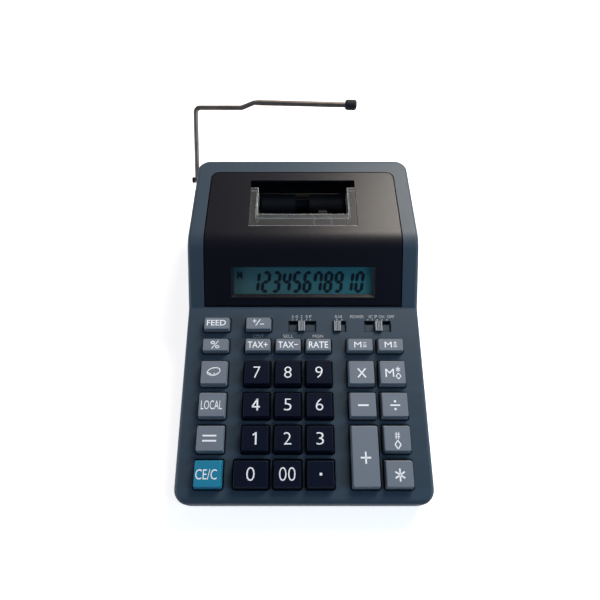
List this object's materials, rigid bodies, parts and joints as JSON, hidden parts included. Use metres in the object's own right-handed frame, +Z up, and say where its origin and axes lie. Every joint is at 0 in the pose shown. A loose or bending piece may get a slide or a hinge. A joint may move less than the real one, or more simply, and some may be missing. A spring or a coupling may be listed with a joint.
{
  "type": "desktop printing calculator",
  "caption": "Desktop printing calculator with a sloped key deck, sloped digit display, hinged printer cover with clear tear bar, and a wire arm for a paper roll.",
  "frame": {"origin": "on the table under the middle of the case", "axes": "+X to the right of the user, +Y to the rear, +Z up"},
  "size_m": [0.1525, 0.2588, 0.0776],
  "materials": {
    "case_plastic": "fine texture",
    "base_plastic": "fine texture",
    "cover_plastic": "satin gloss",
    "lens": "clear",
    "clear_plastic": "clear",
    "rubber": "matte",
    "steel": "satin",
    "wire": "bright drawn wire",
    "black_plastic": "satin",
    "circuit_board": "resin",
    "mat_rubber": "matte",
    "lcd": "glass layers",
    "switch_plastic": "satin",
    "ink_felt": "ink soaked",
    "gear_plastic": "natural",
    "key_dark": "satin",
    "key_grey": "satin",
    "key_teal": "satin"
  },
  "bodies": {
    "case": {"upper_case": "case_plastic", "lower_case": "base_plastic", "rubber_feet": "rubber", "case_screws": "steel", "arm_bush": "black_plastic", "main_board": "circuit_board", "key_mat": "mat_rubber", "lcd_panel": "lcd", "slide_switches": "switch_plastic", "dc_jack": "black_plastic", "battery_contacts": "steel", "printer_frame": "black_plastic", "guide_rods": "steel", "print_motor": "steel"},
    "arm": {"paper_arm": "wire", "arm_caps": "rubber"},
    "cover": {"printer_cover": "cover_plastic", "display_window": "lens", "tear_bar": "clear_plastic"},
    "door": {"battery_door": "base_plastic"},
    "carriage": {"print_carriage": "black_plastic"},
    "type": {"type_wheel": "black_plastic"},
    "ink": {"ink_roller": "ink_felt"},
    "feed": {"feed_roller": "rubber", "feed_gear": "gear_plastic"},
    "pinion": {"motor_pinion": "gear_plastic"},
    "decimal_slide": {"decimal_knob": "black_plastic"},
    "rounding_slide": {"rounding_knob": "black_plastic"},
    "mode_slide": {"mode_knob": "black_plastic"},
    "key_feed": {"key_feed": "key_grey"},
    "key_sign": {"key_sign": "key_grey"},
    "key_percent": {"key_percent": "key_grey"},
    "key_tax_plus": {"key_tax_plus": "key_grey"},
    "key_tax_minus": {"key_tax_minus": "key_grey"},
    "key_rate": {"key_rate": "key_grey"},
    "key_memory_minus": {"key_memory_minus": "key_grey"},
    "key_memory_plus": {"key_memory_plus": "key_grey"},
    "key_backspace": {"key_backspace": "key_grey"},
    "key_7": {"key_7": "key_dark"},
    "key_8": {"key_8": "key_dark"},
    "key_9": {"key_9": "key_dark"},
    "key_multiply": {"key_multiply": "key_grey"},
    "key_memory_total": {"key_memory_total": "key_grey"},
    "key_local": {"key_local": "key_grey"},
    "key_4": {"key_4": "key_dark"},
    "key_5": {"key_5": "key_dark"},
    "key_6": {"key_6": "key_dark"},
    "key_minus": {"key_minus": "key_grey"},
    "key_divide": {"key_divide": "key_grey"},
    "key_equals": {"key_equals": "key_grey"},
    "key_1": {"key_1": "key_dark"},
    "key_2": {"key_2": "key_dark"},
    "key_3": {"key_3": "key_dark"},
    "key_plus": {"key_plus": "key_grey"},
    "key_subtotal": {"key_subtotal": "key_grey"},
    "key_clear": {"key_clear": "key_teal"},
    "key_0": {"key_0": "key_dark"},
    "key_00": {"key_00": "key_dark"},
    "key_point": {"key_point": "key_dark"},
    "key_total": {"key_total": "key_grey"}
  },
  "joints": [
    {"name": "arm_pivot", "type": "hinge", "parent": "case", "child": "arm", "pos_m": [-0.0735, 0.10145, 0.045], "axis": [1, 0, 0], "range_deg": [-52, 58]},
    {"name": "cover_hinge", "type": "hinge", "parent": "case", "child": "cover", "pos_m": [0, 0.00583, 0.03513], "axis": [1, 0, 0], "range_deg": [0, 75]},
    {"name": "battery_door_lift", "type": "slide", "parent": "case", "child": "door", "axis": [0, 0, -1], "range_m": [0, 0.03]},
    {"name": "carriage_slide", "type": "slide", "parent": "case", "child": "carriage", "axis": [1, 0, 0], "range_m": [-0.0405, 0.0125]},
    {"name": "feed_spin", "type": "hinge", "parent": "case", "child": "feed", "pos_m": [0, 0.08675, 0.036], "axis": [1, 0, 0], "continuous": true},
    {"name": "pinion_spin", "type": "hinge", "parent": "case", "child": "pinion", "pos_m": [-0.038, 0.09379, 0.01814], "axis": [1, 0, 0], "continuous": true},
    {"name": "type_spin", "type": "hinge", "parent": "carriage", "child": "type", "pos_m": [0.014, 0.07175, 0.038], "axis": [1, 0, 0], "continuous": true},
    {"name": "ink_spin", "type": "hinge", "parent": "carriage", "child": "ink", "pos_m": [0.014, 0.06013, 0.04005], "axis": [1, 0, 0], "continuous": true},
    {"name": "decimal_shift", "type": "slide", "parent": "case", "child": "decimal_slide", "axis": [1, 0, 0], "range_m": [-0.006, 0.0068]},
    {"name": "rounding_shift", "type": "slide", "parent": "case", "child": "rounding_slide", "axis": [1, 0, 0], "range_m": [-0.0005, 0.0033]},
    {"name": "mode_shift", "type": "slide", "parent": "case", "child": "mode_slide", "axis": [1, 0, 0], "range_m": [-0.0065, 0.0054]},
    {"name": "key_feed_press", "type": "slide", "parent": "case", "child": "key_feed", "axis": [0, 0.1392, -0.9903], "range_m": [0, 0.0025], "stiffness_N_per_m": 160, "springref_m": -0.0015, "deforming": ["key_mat"]},
    {"name": "key_sign_press", "type": "slide", "parent": "case", "child": "key_sign", "axis": [0, 0.1392, -0.9903], "range_m": [0, 0.0025], "stiffness_N_per_m": 160, "springref_m": -0.0015, "deforming": ["key_mat"]},
    {"name": "key_percent_press", "type": "slide", "parent": "case", "child": "key_percent", "axis": [0, 0.1392, -0.9903], "range_m": [0, 0.0025], "stiffness_N_per_m": 160, "springref_m": -0.0015, "deforming": ["key_mat"]},
    {"name": "key_tax_plus_press", "type": "slide", "parent": "case", "child": "key_tax_plus", "axis": [0, 0.1392, -0.9903], "range_m": [0, 0.0025], "stiffness_N_per_m": 160, "springref_m": -0.0015, "deforming": ["key_mat"]},
    {"name": "key_tax_minus_press", "type": "slide", "parent": "case", "child": "key_tax_minus", "axis": [0, 0.1392, -0.9903], "range_m": [0, 0.0025], "stiffness_N_per_m": 160, "springref_m": -0.0015, "deforming": ["key_mat"]},
    {"name": "key_rate_press", "type": "slide", "parent": "case", "child": "key_rate", "axis": [0, 0.1392, -0.9903], "range_m": [0, 0.0025], "stiffness_N_per_m": 160, "springref_m": -0.0015, "deforming": ["key_mat"]},
    {"name": "key_memory_minus_press", "type": "slide", "parent": "case", "child": "key_memory_minus", "axis": [0, 0.1392, -0.9903], "range_m": [0, 0.0025], "stiffness_N_per_m": 160, "springref_m": -0.0015, "deforming": ["key_mat"]},
    {"name": "key_memory_plus_press", "type": "slide", "parent": "case", "child": "key_memory_plus", "axis": [0, 0.1392, -0.9903], "range_m": [0, 0.0025], "stiffness_N_per_m": 160, "springref_m": -0.0015, "deforming": ["key_mat"]},
    {"name": "key_backspace_press", "type": "slide", "parent": "case", "child": "key_backspace", "axis": [0, 0.1392, -0.9903], "range_m": [0, 0.0025], "stiffness_N_per_m": 160, "springref_m": -0.0015, "deforming": ["key_mat"]},
    {"name": "key_7_press", "type": "slide", "parent": "case", "child": "key_7", "axis": [0, 0.1392, -0.9903], "range_m": [0, 0.0025], "stiffness_N_per_m": 160, "springref_m": -0.0015, "deforming": ["key_mat"]},
    {"name": "key_8_press", "type": "slide", "parent": "case", "child": "key_8", "axis": [0, 0.1392, -0.9903], "range_m": [0, 0.0025], "stiffness_N_per_m": 160, "springref_m": -0.0015, "deforming": ["key_mat"]},
    {"name": "key_9_press", "type": "slide", "parent": "case", "child": "key_9", "axis": [0, 0.1392, -0.9903], "range_m": [0, 0.0025], "stiffness_N_per_m": 160, "springref_m": -0.0015, "deforming": ["key_mat"]},
    {"name": "key_multiply_press", "type": "slide", "parent": "case", "child": "key_multiply", "axis": [0, 0.1392, -0.9903], "range_m": [0, 0.0025], "stiffness_N_per_m": 160, "springref_m": -0.0015, "deforming": ["key_mat"]},
    {"name": "key_memory_total_press", "type": "slide", "parent": "case", "child": "key_memory_total", "axis": [0, 0.1392, -0.9903], "range_m": [0, 0.0025], "stiffness_N_per_m": 160, "springref_m": -0.0015, "deforming": ["key_mat"]},
    {"name": "key_local_press", "type": "slide", "parent": "case", "child": "key_local", "axis": [0, 0.1392, -0.9903], "range_m": [0, 0.0025], "stiffness_N_per_m": 160, "springref_m": -0.0015, "deforming": ["key_mat"]},
    {"name": "key_4_press", "type": "slide", "parent": "case", "child": "key_4", "axis": [0, 0.1392, -0.9903], "range_m": [0, 0.0025], "stiffness_N_per_m": 160, "springref_m": -0.0015, "deforming": ["key_mat"]},
    {"name": "key_5_press", "type": "slide", "parent": "case", "child": "key_5", "axis": [0, 0.1392, -0.9903], "range_m": [0, 0.0025], "stiffness_N_per_m": 160, "springref_m": -0.0015, "deforming": ["key_mat"]},
    {"name": "key_6_press", "type": "slide", "parent": "case", "child": "key_6", "axis": [0, 0.1392, -0.9903], "range_m": [0, 0.0025], "stiffness_N_per_m": 160, "springref_m": -0.0015, "deforming": ["key_mat"]},
    {"name": "key_minus_press", "type": "slide", "parent": "case", "child": "key_minus", "axis": [0, 0.1392, -0.9903], "range_m": [0, 0.0025], "stiffness_N_per_m": 160, "springref_m": -0.0015, "deforming": ["key_mat"]},
    {"name": "key_divide_press", "type": "slide", "parent": "case", "child": "key_divide", "axis": [0, 0.1392, -0.9903], "range_m": [0, 0.0025], "stiffness_N_per_m": 160, "springref_m": -0.0015, "deforming": ["key_mat"]},
    {"name": "key_equals_press", "type": "slide", "parent": "case", "child": "key_equals", "axis": [0, 0.1392, -0.9903], "range_m": [0, 0.0025], "stiffness_N_per_m": 160, "springref_m": -0.0015, "deforming": ["key_mat"]},
    {"name": "key_1_press", "type": "slide", "parent": "case", "child": "key_1", "axis": [0, 0.1392, -0.9903], "range_m": [0, 0.0025], "stiffness_N_per_m": 160, "springref_m": -0.0015, "deforming": ["key_mat"]},
    {"name": "key_2_press", "type": "slide", "parent": "case", "child": "key_2", "axis": [0, 0.1392, -0.9903], "range_m": [0, 0.0025], "stiffness_N_per_m": 160, "springref_m": -0.0015, "deforming": ["key_mat"]},
    {"name": "key_3_press", "type": "slide", "parent": "case", "child": "key_3", "axis": [0, 0.1392, -0.9903], "range_m": [0, 0.0025], "stiffness_N_per_m": 160, "springref_m": -0.0015, "deforming": ["key_mat"]},
    {"name": "key_plus_press", "type": "slide", "parent": "case", "child": "key_plus", "axis": [0, 0.1392, -0.9903], "range_m": [0, 0.0025], "stiffness_N_per_m": 160, "springref_m": -0.0015, "deforming": ["key_mat"]},
    {"name": "key_subtotal_press", "type": "slide", "parent": "case", "child": "key_subtotal", "axis": [0, 0.1392, -0.9903], "range_m": [0, 0.0025], "stiffness_N_per_m": 160, "springref_m": -0.0015, "deforming": ["key_mat"]},
    {"name": "key_clear_press", "type": "slide", "parent": "case", "child": "key_clear", "axis": [0, 0.1392, -0.9903], "range_m": [0, 0.0025], "stiffness_N_per_m": 160, "springref_m": -0.0015, "deforming": ["key_mat"]},
    {"name": "key_0_press", "type": "slide", "parent": "case", "child": "key_0", "axis": [0, 0.1392, -0.9903], "range_m": [0, 0.0025], "stiffness_N_per_m": 160, "springref_m": -0.0015, "deforming": ["key_mat"]},
    {"name": "key_00_press", "type": "slide", "parent": "case", "child": "key_00", "axis": [0, 0.1392, -0.9903], "range_m": [0, 0.0025], "stiffness_N_per_m": 160, "springref_m": -0.0015, "deforming": ["key_mat"]},
    {"name": "key_point_press", "type": "slide", "parent": "case", "child": "key_point", "axis": [0, 0.1392, -0.9903], "range_m": [0, 0.0025], "stiffness_N_per_m": 160, "springref_m": -0.0015, "deforming": ["key_mat"]},
    {"name": "key_total_press", "type": "slide", "parent": "case", "child": "key_total", "axis": [0, 0.1392, -0.9903], "range_m": [0, 0.0025], "stiffness_N_per_m": 160, "springref_m": -0.0015, "deforming": ["key_mat"]}
  ],
  "couplings": [
    {"joint": "pinion_spin", "follows": "feed_spin", "ratio": -3},
    {"joint": "ink_spin", "follows": "type_spin", "ratio": -1.3}
  ]
}
